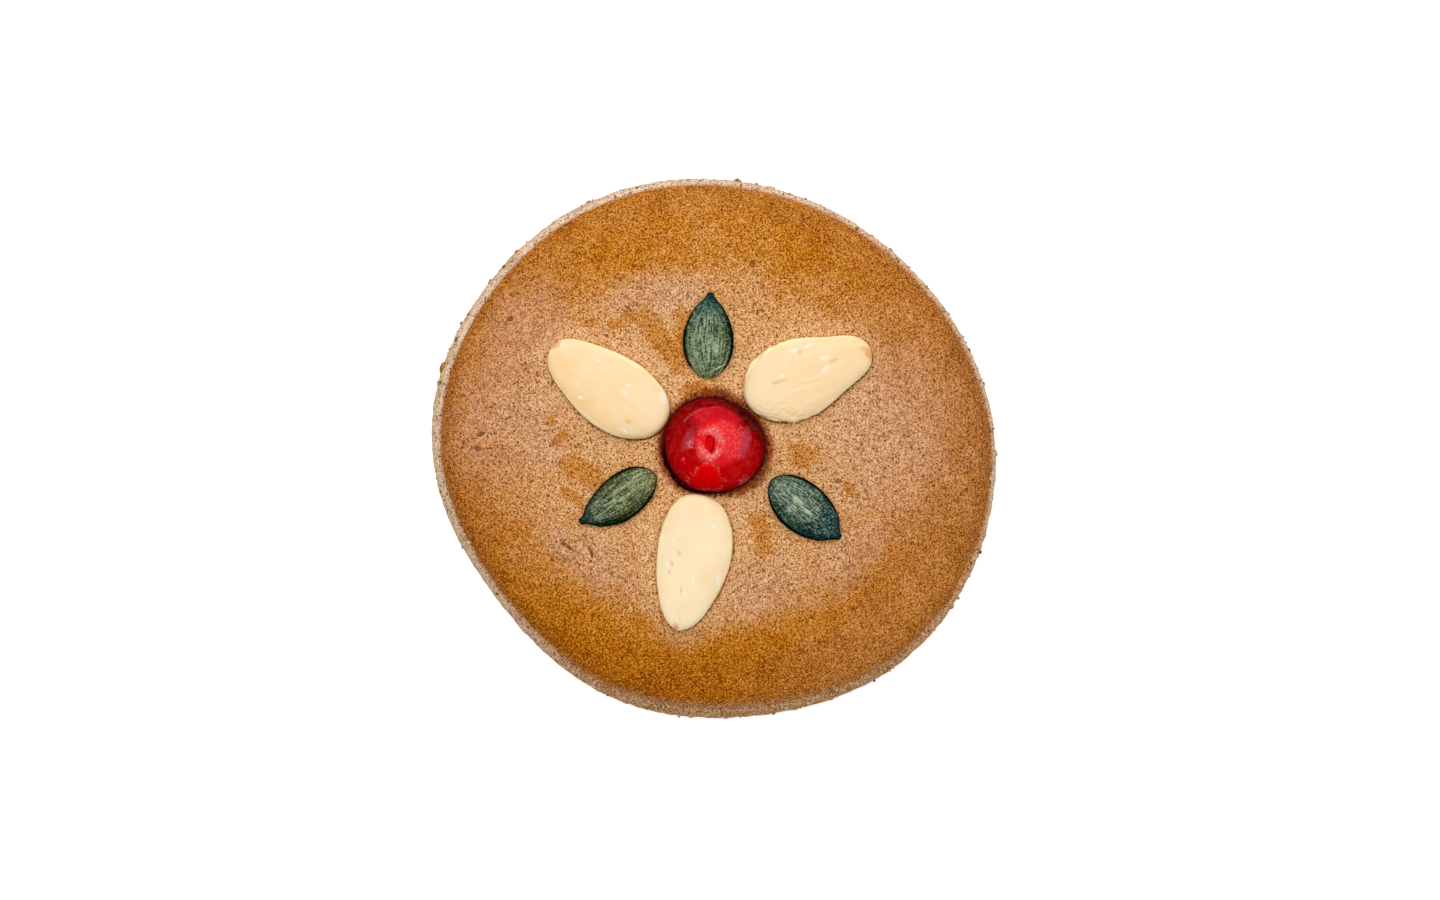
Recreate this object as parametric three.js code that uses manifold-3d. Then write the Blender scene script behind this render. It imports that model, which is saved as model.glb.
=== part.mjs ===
// A round lebkuchen: a domed, glazed spice biscuit with almond halves, pumpkin seeds and
// half a candied cherry pressed into its top, each topping in a seat of its own shape.
// Millimetres, +Z up. The biscuit rests on z = 0 with the middle of its box on the Z axis.
// Seen from above, +X is to the right and +Y is away from the viewer.

import * as THREE from "three";
import { mergeVertices } from "three/addons/utils/BufferGeometryUtils.js";
import Module from "manifold-3d";

const { abs, atan2, cos, exp, hypot, PI, sign, sin, sqrt } = Math;
const { clamp, degToRad, smoothstep } = THREE.MathUtils;

// Biscuit: mean sizes of its section, from the flat foot up to the crown
const BISCUIT_RADIUS = 45;
const CROWN_HEIGHT = 13;
const FOOT_RADIUS = 43.8;
const WIDEST_HEIGHT = 2.6;
const SKIN_EDGE_RADIUS = 43.2; // the glazed skin ends here, above the pale side
const SKIN_EDGE_HEIGHT = 6;
const SIDE_RISE = 2.2; // how far the side climbs before it turns in to the skin's edge
const SHOULDER_LEAN = 0.5; // the skin first climbs steeply, leaning in this much
const SHOULDER_RISE = 3.9;
const CROWN_REACH = 28; // how far the flat of the crown reaches towards the shoulder

// Uneven outline: how many lobes, how far they stand out, and where the first one points
const LOBES = [
  { count: 2, reach: 1.57, towards: -28 },
  { count: 4, reach: 0.24, towards: -12 },
  { count: 5, reach: 0.27, towards: 31 },
  { count: 6, reach: 0.19, towards: 5 },
];
const TOP_SLIDE = { reach: 0.45, towards: 58 }; // the glazed top sits off the middle
const CRAG_DEPTH = 0.4; // crumbly side, in and out at random
const CRAG_SEED = 24;
const SWELL = { height: 0.15, alongX: 44, alongY: 38 }; // slow waves of the glazed top
const COLLAR = { height: 0.5, radius: 9.4, width: 1.6 }; // dough squeezed up round the cherry

// Toppings: each bud has a blunt inner end and a pointed outer end that its heading follows. Its
// middle line bows to the left, and leans further to the left on its way to the point. A snub point
// doesn't taper out: the bud stays wider towards it and is rounded off there.
const SNUB_START = 0.3;
const SNUB_ROUNDNESS = 16; // a large power, so only the very point is rounded off
const SEAT_GAP = 0.3;
const GAP_CLOSING = 0.25; // a small power, so the gap closes only at a bud's very ends
const ALMOND_FORM = { dome: 2.7, domeRoundness: 0.5, keel: 1.2, keelRoundness: 0.4, rise: 0.1 };
const ALMONDS = [
  { x: 15.25, y: 11.85, heading: 22.5, length: 21.9, width: 12.8,
    blunt: 0.57, point: 0.89, snub: 0.2, bow: 0.05, lean: -0.05 },
  { x: -17, y: 10.05, heading: 145.5, length: 22.2, width: 12.1,
    blunt: 0.47, point: 0.67, snub: 0.12, bow: 0.4, lean: 0 },
  { x: -3.9, y: -18.4, heading: -99, length: 22.3, width: 12,
    blunt: 0.42, point: 0.63, snub: 0.05, bow: 0.6, lean: -0.3 },
];
const SEED_FORM = { dome: 1.4, domeRoundness: 0.45, keel: 0.9, keelRoundness: 0.5, rise: 0 };
const SEEDS = [
  { x: -0.7, y: 18.2, heading: 88, length: 14, width: 8.2,
    blunt: 0.59, point: 0.82, snub: 0, bow: 0.1, lean: 0.1 },
  { x: -15.5, y: -8, heading: -147.5, length: 14.6, width: 7.4,
    blunt: 0.58, point: 0.79, snub: 0, bow: 0.3, lean: 0.5 },
  { x: 14.9, y: -9.8, heading: -40, length: 14.7, width: 8.2,
    blunt: 0.59, point: 0.71, snub: 0, bow: -0.1, lean: 0 },
];
const CHERRY = { x: 0.4, y: 0.6, radius: 7.8, dome: 6.2, keel: 2.2, keelRoundness: 0.5, height: 12.6 };
const CHERRY_DIMPLE = { depth: 0.5, radius: 1.7 };

// Facets
const ROUND_STEPS = 112;
const FOOT_STEPS = 3;
const SIDE_STEPS = 4;
const DOME_STEPS = 15;
const ALMOND_STEPS = { along: 16, around: 24 };
const SEED_STEPS = { along: 12, around: 20 };
const CHERRY_STEPS = { up: 14, around: 36 };
const HALVINGS = 24; // of the search for a height on the dome

const crustFinish = new THREE.MeshStandardMaterial({ color: 0xc28348, roughness: 0.5, metalness: 0 });
const almondFinish = new THREE.MeshStandardMaterial({ color: 0xfadba9, roughness: 0.45, metalness: 0 });
const seedFinish = new THREE.MeshStandardMaterial({ color: 0x586a52, roughness: 0.5, metalness: 0 });
const cherryFinish = new THREE.MeshStandardMaterial({ color: 0xb4181f, roughness: 0.18, metalness: 0 });

const wasm = await Module();
wasm.setup();

// A geometry with only positions, each shared by the faces that meet there
function weld(geometry) {
  geometry.deleteAttribute("normal");
  geometry.deleteAttribute("uv");
  return mergeVertices(geometry);
}

// Moves every vertex of a welded geometry to where the given function puts it
function reshape(geometry, place) {
  const position = geometry.getAttribute("position");
  const point = new THREE.Vector3();
  for (let i = 0; i < position.count; i++) {
    place(point.fromBufferAttribute(position, i));
    position.setXYZ(i, point.x, point.y, point.z);
  }
  return geometry;
}

function toSolid(geometry) {
  return new wasm.Manifold(
    new wasm.Mesh({
      numProp: 3,
      vertProperties: geometry.getAttribute("position").array,
      triVerts: new Uint32Array(geometry.index.array),
    }),
  );
}

function toGeometry(solid) {
  const { vertProperties, triVerts } = solid.getMesh();
  const geometry = new THREE.BufferGeometry();
  geometry.setAttribute("position", new THREE.BufferAttribute(vertProperties, 3));
  geometry.setIndex(new THREE.BufferAttribute(triVerts, 1));
  geometry.computeVertexNormals();
  return geometry;
}

// The same run of numbers between 0 and 1 for the same seed
function seededNumbers(seed) {
  const modulus = 2 ** 32;
  let state = seed;
  return () => {
    state = (state * 1664525 + 1013904223) % modulus;
    return state / modulus;
  };
}

function outlineRadius(angle) {
  const addLobe = (radius, { count, reach, towards }) =>
    radius + reach * cos(count * (angle - degToRad(towards)));
  return LOBES.reduce(addLobe, BISCUIT_RADIUS);
}

const foot = new THREE.QuadraticBezierCurve(
  new THREE.Vector2(FOOT_RADIUS, 0),
  new THREE.Vector2(BISCUIT_RADIUS, 0),
  new THREE.Vector2(BISCUIT_RADIUS, WIDEST_HEIGHT),
);
const side = new THREE.CubicBezierCurve(
  new THREE.Vector2(BISCUIT_RADIUS, WIDEST_HEIGHT),
  new THREE.Vector2(BISCUIT_RADIUS, WIDEST_HEIGHT + SIDE_RISE),
  new THREE.Vector2((BISCUIT_RADIUS + SKIN_EDGE_RADIUS) / 2, SKIN_EDGE_HEIGHT),
  new THREE.Vector2(SKIN_EDGE_RADIUS, SKIN_EDGE_HEIGHT),
);
const dome = new THREE.CubicBezierCurve(
  new THREE.Vector2(SKIN_EDGE_RADIUS, SKIN_EDGE_HEIGHT),
  new THREE.Vector2(SKIN_EDGE_RADIUS - SHOULDER_LEAN, SKIN_EDGE_HEIGHT + SHOULDER_RISE),
  new THREE.Vector2(CROWN_REACH, CROWN_HEIGHT),
  new THREE.Vector2(0, CROWN_HEIGHT),
);

// Half of the biscuit's section, from the middle of the foot to the middle of the crown
function biscuitSection() {
  return [
    new THREE.Vector2(0, 0),
    ...foot.getPoints(FOOT_STEPS),
    ...side.getPoints(SIDE_STEPS).slice(1),
    ...dome.getPoints(DOME_STEPS).slice(1),
  ];
}

// Height of the plain dome above a place on the base
function domeHeight(x, y) {
  const distance = hypot(x, y);
  let outer = 0;
  let inner = 1;
  for (let halving = 0; halving < HALVINGS; halving++) {
    const middle = (outer + inner) / 2;
    if (dome.getPoint(middle).x > distance) outer = middle;
    else inner = middle;
  }
  return dome.getPoint(outer).y;
}

// Swells of the glazed top and the collar round the cherry; the rim stays as it is
function topRelief(x, y) {
  const share = hypot(x, y) / BISCUIT_RADIUS;
  const wave = sin((2 * PI * x) / SWELL.alongX) * cos((2 * PI * y) / SWELL.alongY);
  const fromCollar = (hypot(x - CHERRY.x, y - CHERRY.y) - COLLAR.radius) / COLLAR.width;
  return SWELL.height * wave * (1 - share) + COLLAR.height * exp(-fromCollar * fromCollar);
}

function biscuitGeometry() {
  const turned = new THREE.LatheGeometry(biscuitSection(), ROUND_STEPS).rotateX(PI / 2);
  const random = seededNumbers(CRAG_SEED);
  const slideAngle = degToRad(TOP_SLIDE.towards);
  const geometry = reshape(weld(turned), (point) => {
    const angle = atan2(point.y, point.x);
    const distance = hypot(point.x, point.y);
    const share = distance / BISCUIT_RADIUS;
    const onSide = point.z > 0 && point.z < SKIN_EDGE_HEIGHT;
    const crag = onSide ? CRAG_DEPTH * (random() - 0.5) : 0;
    const radius = distance + (outlineRadius(angle) - BISCUIT_RADIUS) * share * share + crag;
    const slide = TOP_SLIDE.reach * smoothstep(point.z, WIDEST_HEIGHT, SKIN_EDGE_HEIGHT);
    point.x = radius * cos(angle) + slide * cos(slideAngle);
    point.y = radius * sin(angle) + slide * sin(slideAngle);
  });
  geometry.computeBoundingBox();
  const middle = geometry.boundingBox.getCenter(new THREE.Vector3());
  geometry.translate(-middle.x, -middle.y, 0);
  return reshape(geometry, (point) => {
    if (point.z > SKIN_EDGE_HEIGHT) point.z += topRelief(point.x, point.y);
  });
}

// Half width of a bud at a place along it, from -1 at the blunt end to 1 at the point
function budHalfWidth(along, { width, blunt, point, snub }) {
  const widest = (blunt - point) / (blunt + point);
  const place = along - snub * smoothstep(along, SNUB_START, 1);
  const bluntShare = ((1 + place) / (1 + widest)) ** blunt;
  const pointShare = ((1 - place) / (1 - widest)) ** point;
  const rounding = sqrt(1 - clamp(along, 0, 1) ** SNUB_ROUNDNESS);
  return (width / 2) * bluntShare * pointShare * rounding;
}

// An almond half or a seed along +X: a low dome with a steep edge above its widest line, nearly flat below
function budGeometry(bud, form, steps, grow = 0) {
  const ball = new THREE.SphereGeometry(1, steps.around, steps.along).rotateZ(-PI / 2);
  return reshape(weld(ball), (point) => {
    const along = clamp(point.x, -1, 1);
    const inside = 1 - along * along;
    const gap = grow * inside ** GAP_CLOSING;
    const turn = atan2(point.z, point.y);
    const halfWidth = budHalfWidth(along, bud);
    const fullness = sqrt((2 * halfWidth) / bud.width);
    const up = sin(turn);
    const rise = up > 0 ? form.dome : form.keel;
    const roundness = up > 0 ? form.domeRoundness : form.keelRoundness;
    point.x = along * (bud.length / 2 + grow);
    point.y = cos(turn) * (halfWidth + gap) + (bud.bow + bud.lean * along) * inside;
    point.z = sign(up) * abs(up) ** roundness * (rise * fullness + gap);
  });
}

// Half a candied cherry, dimpled where the stone came out, on a nearly flat cut face
function cherryGeometry(grow = 0) {
  const ball = new THREE.SphereGeometry(1, CHERRY_STEPS.around, CHERRY_STEPS.up).rotateX(PI / 2);
  return reshape(weld(ball), (point) => {
    const up = point.z;
    point.x *= CHERRY.radius + grow;
    point.y *= CHERRY.radius + grow;
    const fromMiddle = hypot(point.x, point.y) / CHERRY_DIMPLE.radius;
    const dimple = CHERRY_DIMPLE.depth * exp(-fromMiddle * fromMiddle);
    if (up > 0) point.z = up * (CHERRY.dome + grow) - dimple;
    else point.z = -(abs(up) ** CHERRY.keelRoundness) * (CHERRY.keel + grow);
  });
}

// Sets a topping down on the dome, tilted both ways to lie along the slope there
function placeBud(mesh, bud, form) {
  const heading = degToRad(bud.heading);
  const ahead = new THREE.Vector2(cos(heading), sin(heading)).multiplyScalar(bud.length / 4);
  const left = new THREE.Vector2(-sin(heading), cos(heading)).multiplyScalar(bud.width / 4);
  const slope = (step) =>
    (domeHeight(bud.x + step.x, bud.y + step.y) - domeHeight(bud.x - step.x, bud.y - step.y)) /
    (2 * step.length());
  mesh.rotation.set(Math.atan(slope(left)), -Math.atan(slope(ahead)), heading, "ZYX");
  mesh.position.set(bud.x, bud.y, domeHeight(bud.x, bud.y) + form.rise);
  mesh.updateMatrix();
}

const lebkuchen = new THREE.Group();
const seats = [];

function addBuds(name, buds, form, steps, finish) {
  buds.forEach((bud, index) => {
    const mesh = new THREE.Mesh(budGeometry(bud, form, steps), finish);
    mesh.name = `${name}_${index + 1}`;
    placeBud(mesh, bud, form);
    lebkuchen.add(mesh);
    seats.push(budGeometry(bud, form, steps, SEAT_GAP).applyMatrix4(mesh.matrix));
  });
}

function addCherry() {
  const mesh = new THREE.Mesh(cherryGeometry(), cherryFinish);
  mesh.name = "cherry";
  mesh.position.set(CHERRY.x, CHERRY.y, CHERRY.height);
  mesh.updateMatrix();
  lebkuchen.add(mesh);
  seats.push(cherryGeometry(SEAT_GAP).applyMatrix4(mesh.matrix));
}

function addBiscuit() {
  const cutSeat = (dough, seat) => dough.subtract(toSolid(seat));
  const dough = seats.reduce(cutSeat, toSolid(biscuitGeometry()));
  const mesh = new THREE.Mesh(toGeometry(dough), crustFinish);
  mesh.name = "biscuit";
  lebkuchen.add(mesh);
}

addBuds("almond", ALMONDS, ALMOND_FORM, ALMOND_STEPS, almondFinish);
addBuds("pumpkin_seed", SEEDS, SEED_FORM, SEED_STEPS, seedFinish);
addCherry();
addBiscuit();

export default lebkuchen;
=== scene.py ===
"""The looks of a round lebkuchen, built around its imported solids.

Lengths are in millimetres and angles in degrees, unless a name says otherwise, in the part's own frame:
+Z up, the biscuit's flat base on z = 0 and the middle of its box on the Z axis. Meshes are made in metres.
"""

import math
from types import SimpleNamespace as Specs

import bpy
import numpy as np
from mathutils import Euler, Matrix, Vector, noise


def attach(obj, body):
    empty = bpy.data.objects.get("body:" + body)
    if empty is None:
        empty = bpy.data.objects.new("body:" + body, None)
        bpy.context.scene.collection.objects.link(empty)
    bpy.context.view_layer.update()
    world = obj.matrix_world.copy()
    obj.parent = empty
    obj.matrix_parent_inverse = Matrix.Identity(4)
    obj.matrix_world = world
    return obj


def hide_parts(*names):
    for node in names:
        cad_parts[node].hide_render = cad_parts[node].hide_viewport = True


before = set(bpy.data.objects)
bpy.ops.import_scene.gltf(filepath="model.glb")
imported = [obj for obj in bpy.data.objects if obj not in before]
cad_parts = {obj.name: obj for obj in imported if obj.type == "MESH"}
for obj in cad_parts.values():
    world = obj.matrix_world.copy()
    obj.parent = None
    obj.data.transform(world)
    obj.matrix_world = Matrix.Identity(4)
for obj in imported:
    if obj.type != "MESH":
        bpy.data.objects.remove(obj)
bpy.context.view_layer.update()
scene = bpy.context.scene

MM = 0.001

# Biscuit: its section from the crown to the foot, as in the solids
BISCUIT_RADIUS = 45.0
BISCUIT_MIDDLE = (0.27, -0.19)
CROWN_HEIGHT = 13.0
CROWN_REACH = 28.0
SKIN_EDGE_RADIUS = 43.5
SKIN_EDGE_HEIGHT = 6.0
SHOULDER_LEAN = 0.5
SHOULDER_RISE = 3.9
SIDE_RISE = 2.2
WIDEST_HEIGHT = 2.6
FOOT_RADIUS = 43.8
OUTLINE_WAVES = ((2, 1.57, -28), (4, 0.24, -12), (5, 0.27, 31), (6, 0.19, 5))  # count, reach, towards
TOP_SLIDE = (0.45, 58)  # reach, towards
SWELL = (0.15, 44, 38)  # height, wave along X, wave along Y
COLLAR = (0.5, 9.4, 1.6)  # height, radius and width of the dough squeezed up round the cherry
CRATER_DEPTH = 2.4
CRATER_REACH = 4  # how far from the cherry the dough is broken up
CRACK_DEPTH = 0.18
TOP_INSET = 2.5  # how far inside the skin's edge the seats, the crater and the cracks end

# Rows of ripples: height, size, seed
SKIN_LUMPS = ((0.10, 8.0, 7), (0.05, 3.0, 8), (0.035, 1.0, 9))
SKIN_WANDER = ((0.2, 6.0, 5), (0.15, 1.4, 6))
SKIN_FRAY = ((0.7, 3.0, 14), (0.45, 1.1, 15))
SIDE_CRAGS = ((0.12, 3.2, 16), (0.14, 1.0, 17))
CRATER_BREAKS = ((0.3, 1.3, 3), (0.2, 0.5, 4))
CHERRY_LUMPS = ((0.015, 0.9, 21), (0.004, 0.22, 22))  # in shares of its radius
CHERRY_FRAY = ((0.5, 1.0, 24), (0.35, 0.4, 25))

# Mesh steps
DOME_LINE_POINTS = 400
SIDE_LINE_POINTS = 200
FOOT_LINE_POINTS = 100
AROUND = 560
CRATER_INNER = 6.3
CRATER_OUTER = 10.6
CRATER_STEP = 0.13
TOPPED_RADIUS = 30.0
TOPPED_STEP = 0.25
BARE_STEP = 0.45
SIDE_STEP = 0.36
HIDDEN_RINGS = (2.5, 4.8)  # under the cherry
BASE_RINGS = (43.2, 41.5, 30.0, 15.0)
ALMOND_STEPS = 160
SEED_STEPS = 120
CHERRY_STEPS = (140, 240)  # rings, points around
CRUMB_STEPS = (5, 9)

# Toppings, as in the solids: a bud is an almond half or seed, with a blunt inner end and a point ahead
ALMOND_FORM = Specs(dome=2.7, dome_round=0.5, keel=1.2, keel_round=0.4, rise=0.1,
                    seat=2.0, groove=0.14, line=0.27, dusted=1.0)  # the last four shape its seat in the dough; line is how wide the painted shadow round it runs on its shaded side
SNUB_START = 0.3
SNUB_ROUNDNESS = 16  # a large power, so only the very point is rounded off
ALMONDS = (
    Specs(x=15.25, y=11.85, heading=22.5, length=21.9, width=12.8,
          blunt=0.57, point=0.89, snub=0.2, bow=0.05, lean=-0.05),
    Specs(x=-17, y=10.05, heading=145.5, length=22.2, width=12.1,
          blunt=0.47, point=0.67, snub=0.12, bow=0.4, lean=0),
    Specs(x=-3.9, y=-18.4, heading=-99, length=22.3, width=12,
          blunt=0.42, point=0.63, snub=0.05, bow=0.6, lean=-0.3),
)
SEED_FORM = Specs(dome=1.4, dome_round=0.45, keel=0.9, keel_round=0.5, rise=0,
                  seat=1.6, groove=0.08, line=0.14, dusted=0.0)
SEEDS = (
    Specs(x=-0.7, y=18.2, heading=88, length=14, width=8.2,
          blunt=0.59, point=0.82, snub=0, bow=0.1, lean=0.1),
    Specs(x=-15.5, y=-8, heading=-147.5, length=14.6, width=7.4,
          blunt=0.58, point=0.79, snub=0, bow=0.3, lean=0.5),
    Specs(x=14.9, y=-9.8, heading=-40, length=14.7, width=8.2,
          blunt=0.59, point=0.71, snub=0, bow=-0.1, lean=0),
)
SEED_STUB = 0.6  # half width of a seed's stubby tip
CHERRY = Specs(x=0.4, y=0.6, radius=7.8, dome=6.2, keel=2.2, keel_round=0.5, height=12.6)
CHERRY_DIMPLE = (0.5, 1.7)  # depth, radius
CHERRY_WAVES = ((1, 0.31, -160), (2, 0.26, -23), (3, 0.11, -7))  # count, reach, towards
HUG = (1.7, 0.12)  # how far out the dough is drawn up to a bud, and how far under its widest line
SEAT_REACH = 6  # how far past a bud's ends its seat is worked out
FAR = 99.0  # the distance given to places beyond that

# Oval patches: middle x and y, half length, half width, heading. Those of a topping lie in its own axes.
POOLS = (
    (-19.7, 20.4, 1.6, 1.0, 0),
    (-15.7, 20.1, 1.5, 1.0, 0),
    (-8.4, 17.4, 6.0, 1.9, -56),
    (-5.2, 16.8, 3.5, 1.1, -80),
    (-4.6, 19.6, 3.4, 1.4, -80),
    (-12.8, 21.2, 2.6, 1.1, -25),
    (-3.6, 9.5, 2.4, 1.0, 20),
    (-20.8, -4.0, 3.8, 1.9, -30),
    (-23.0, -7.6, 2.4, 1.0, -35),
    (-24.6, 1.9, 1.8, 0.6, 40),
    (-26.3, 4.5, 1.0, 0.7, 60),
    (14.6, -1.0, 2.4, 2.1, 0),
    (7.7, -13.8, 3.6, 1.3, -75),
    (22.1, -6.6, 1.4, 0.7, -50),
    (-11.9, -28.4, 2.6, 1.4, -20),
)
# Painted sheen: pink-white patches of glaze reflection painted into the skin's colour
PAINTED_SHEEN_PATCHES = (
    (-9.5, 24.5, 8.5, 3.6, 8),
    (-28.0, 3.0, 6.5, 3.2, -80),
    (-36.0, 6.0, 9.0, 5.0, 80),
    (-31.0, 19.0, 8.0, 5.0, 60),
    (27.0, 3.0, 12.0, 9.0, 85),
    (21.0, -18.0, 8.0, 4.0, 45),
    (8.5, -22.8, 7.0, 4.5, 20),
    (-20.0, -18.0, 8.0, 3.4, -35),
)
CRACKS = (
    (-23.6, -15.8, 1.7, 0.28, -35),
    (-19.8, -16.6, 1.0, 0.25, -70),
    (-38.3, -0.1, 0.8, 0.4, -50),
    (-37.7, 2.3, 0.7, 0.35, 20),
    (6.4, 29.8, 0.8, 0.5, 70),
    (20.1, -5.3, 0.5, 0.35, 10),
    (-13.8, 22.7, 0.8, 0.25, -35),
    (-33.0, 21.0, 0.7, 0.3, 40),
)
ALMOND_MARKS = (
    Specs(
        pale=((-0.6, 4.5, 1.0, 0.35, -10), (1.7, 4.3, 0.8, 0.25, 0), (3.4, 1.5, 1.1, 0.4, -10),
              (2.9, -0.1, 0.9, 0.45, 15), (-4.1, 1.5, 0.6, 0.4, 30), (-3.7, -4.9, 0.35, 0.25, 0)),
        tan=((-0.1, 3.8, 0.6, 0.45, 40), (4.3, 0.5, 1.2, 0.35, 0), (-4.9, 0.7, 1.5, 0.35, -10)),
        scar=((10.4, -0.6, 1.5, 0.9, -65),),
        dents=((-1.2, -1.4, 2.6, 0.25, -8), (-6.9, -5.6, 1.0, 0.5, 10), (9.9, 0.4, 0.9, 0.3, 10)),
        wrinkled=1.0,
        warm_side=-35,
        cream=(252, 224, 178),
        warm_cream=(255, 219, 167),
    ),
    Specs(
        pale=((3.4, -2.5, 0.35, 0.3, 0), (-3.1, -0.8, 1.1, 0.4, -15), (-2.8, -2.0, 0.7, 0.25, 10),
              (2.5, 4.0, 0.6, 0.35, 20), (-6.4, 4.3, 0.7, 0.35, 0), (-8.7, -3.4, 1.4, 0.5, -35)),
        tan=((-6.2, 2.8, 0.8, 0.4, 20),),
        scar=((10.9, -0.6, 1.4, 0.8, 55),),
        dents=((-3.3, -0.6, 1.2, 0.3, -15),),
        wrinkled=0.25,
        warm_side=225,
        cream=(255, 226, 180),
        warm_cream=(255, 215, 157),
    ),
    Specs(
        pale=((0.5, -3.4, 0.6, 0.3, 0), (2.3, 1.0, 0.9, 0.2, 10), (-6.9, 2.9, 1.0, 0.22, -15),
              (-3.6, -3.0, 0.5, 0.25, 0), (1.7, 5.0, 1.0, 0.4, 0)),
        tan=((0.4, -2.6, 0.7, 0.35, 20), (-1.5, -1.8, 0.6, 0.3, 30), (1.7, -2.9, 0.5, 0.35, 0),
             (4.4, -0.6, 1.2, 0.2, 5)),
        scar=((10.8, -0.5, 0.9, 0.6, 0),),
        dents=((10.5, 0.15, 1.2, 0.28, 5), (-10.9, 2.0, 0.9, 0.5, 40)),
        wrinkled=0.3,
        warm_side=-60,
        cream=(255, 232, 190),
        # painted light: brighter than the almond's cream, to lift its shaded lower end
        warm_cream=(264, 239, 196),
    ),
)
SEED_MARKS = (  # flank: where the painted shade on one flank faces and how dark it is; shade: the shares of red, green and blue it leaves; dusted: how far ahead and aside
    Specs(seams=((-5.3, -1.6, 1.7, 0.13, -61),), pale_end=1.0, flank=(-10, 0.6), dusted=(0.35, 0.1),
          green=(98, 114, 72), teal=(70, 106, 98), dust=(164, 178, 144), blunt=(122, 134, 88),
          shade=(0.45, 0.5, 0.4)),
    Specs(seams=((-2.2, 0.5, 0.7, 0.1, 8), (0.3, 0.2, 0.9, 0.1, 4)),
          pale_end=0.0, flank=(-100, 1.0), dusted=(0.55, -0.15),
          green=(104, 108, 54), teal=(60, 86, 70), dust=(166, 172, 130), blunt=(146, 140, 75),
          shade=(0.12, 0.2, 0.08)),
    Specs(seams=((-1.9, 0.3, 1.2, 0.35, 0), (0.2, -0.2, 1.0, 0.2, 5)),
          pale_end=0.0, flank=(-120, 1.0), dusted=(0.1, 0.2),
          green=(64, 97, 80), teal=(38, 84, 88), dust=(184, 199, 171), blunt=(76, 104, 85),
          shade=(0.14, 0.26, 0.26)),
)
CRATER_EDGE = (  # round the cherry: towards, how far out the syrup staining reaches, further at the lower left as painted shade of the gap, and how far the scorch reaches
    (0, 0.7, 1.55),
    (40, 0.4, 1.1),
    (85, 0.3, 1.75),
    (138, 0.3, 0.9),
    (185, 0.85, 1.55),
    (228, 1.0, 1.55),
    (270, 0.4, 0.75),
    (310, 0.35, 1.75),
)
CHERRY_HOLE = (-0.9, 0.2)
CHERRY_RING = (2.0, 0.75)  # radius and width of the ring round the hole: sugar speckles with a painted highlight
CHERRY_PIT = ((-1.0, 0.3, 1.3, 0.75, 80), (-0.75, -0.6, 0.7, 0.5, 60))
CHERRY_BRINK = ((-0.35, 0.1, 1.2, 0.2, 84), (-0.5, -0.9, 0.6, 0.3, 60), (-1.2, 1.2, 0.5, 0.2, 30))
CHERRY_ARC = 6.1  # radius of the edge of the painted lit patch at the top
# painted light: a glow low down where light gathers in the fruit
CHERRY_GLOW = ((-1.3, -5.0, 1.9, 1.9, 0), (-2.6, -5.8, 1.8, 1.2, 20), (-0.7, -5.8, 1.8, 1.2, -15))
# painted reflection: a pink sheen to the right of the hole and above it
CHERRY_SHEEN = ((2.9, 0.4, 2.4, 2.6, -10), (0.6, 2.4, 2.4, 1.3, 10))
# painted reflection: purplish crescents at the right and left
CHERRY_MAUVE_REFLECTIONS = ((4.7, 0.4, 2.3, 0.8, 80), (-4.4, 0.9, 1.8, 0.8, 62))
CHERRY_SUGAR = ((4.5, -5.7, 0.9, 0.5, 60), (-5.2, -2.3, 0.25, 0.25, 0), (-4.1, 0.2, 0.9, 0.5, 70))

# Where the skin browned early: towards, by how much, narrowness
EARLY_BROWN = ((305, 4.5, 4), (240, 1.8, 8), (56, 4.0, 12), (118, 3.0, 20), (18, 1.5, 12), (325, 1.2, 10),
               (282, 1.0, 16))

# Rows of picture colours, each with its place from 0 to 1
SKIN_BROWNS = ((0.0, (221, 162, 108)), (0.25, (213, 146, 77)), (0.5, (202, 126, 36)), (0.75, (189, 110, 4)),
               (1.0, (166, 87, 0)))
# painted sheen: the skin's browns with a pinkish glaze reflection in them
SKIN_PAINTED_SHEEN = ((0.0, (221, 163, 106)), (0.35, (209, 145, 92)), (0.7, (189, 122, 72)), (1.0, (158, 92, 48)))
SIDE_TONES = ((0.0, (244, 214, 190)), (0.35, (234, 202, 172)), (1.0, (222, 192, 150)))
# painted light and shade: the cherry's reds, from its shaded top to its brighter bottom
CHERRY_PAINTED_SHADING_REDS = ((0.0, (138, 0, 2)), (0.5, (172, 0, 3)), (1.0, (208, 0, 4)))
CRUMB_TONES = ((0.0, (224, 202, 178)), (0.5, (198, 156, 108)), (0.8, (172, 104, 14)), (1.0, (92, 58, 34)))

# Crumbs on the side and round the cherry
CRUMB_SEED = 5
CRUMB_STRETCH = (0.7, 1.3)
CRUMB_LEAN = (-0.5, 0.5)  # radians
SIDE_CRUMBS = Specs(count=170, size=(0.14, 0.34), drop=(0.1, 0.75), toasts=(0.1, 0.3, 0.5, 0.9))
CRATER_CRUMBS = Specs(count=130, size=(0.1, 0.26), toast=(0.4, 1.0),
                      spread=(-20, 55), reach=(-0.1, 0.8))  # towards and to both sides, outside the cherry
BIG_CRUMBS = (  # towards, share of the way down the side, half sizes outwards, along and up, how toasted
    (163.5, 0.5, (0.55, 1.1, 0.5), 0.8),
    (157.4, 0.3, (0.3, 0.4, 0.3), 1.0),
    (85.4, 0.4, (0.5, 0.6, 0.4), 0.7),
    (117.4, 0.4, (0.35, 0.5, 0.35), 0.6),
    (135.4, 0.45, (0.35, 0.45, 0.35), 0.7),
    (264.6, 0.5, (0.45, 0.5, 0.4), 0.4),
    (-33.9, 0.45, (0.4, 0.5, 0.4), 0.6),
)

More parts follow.
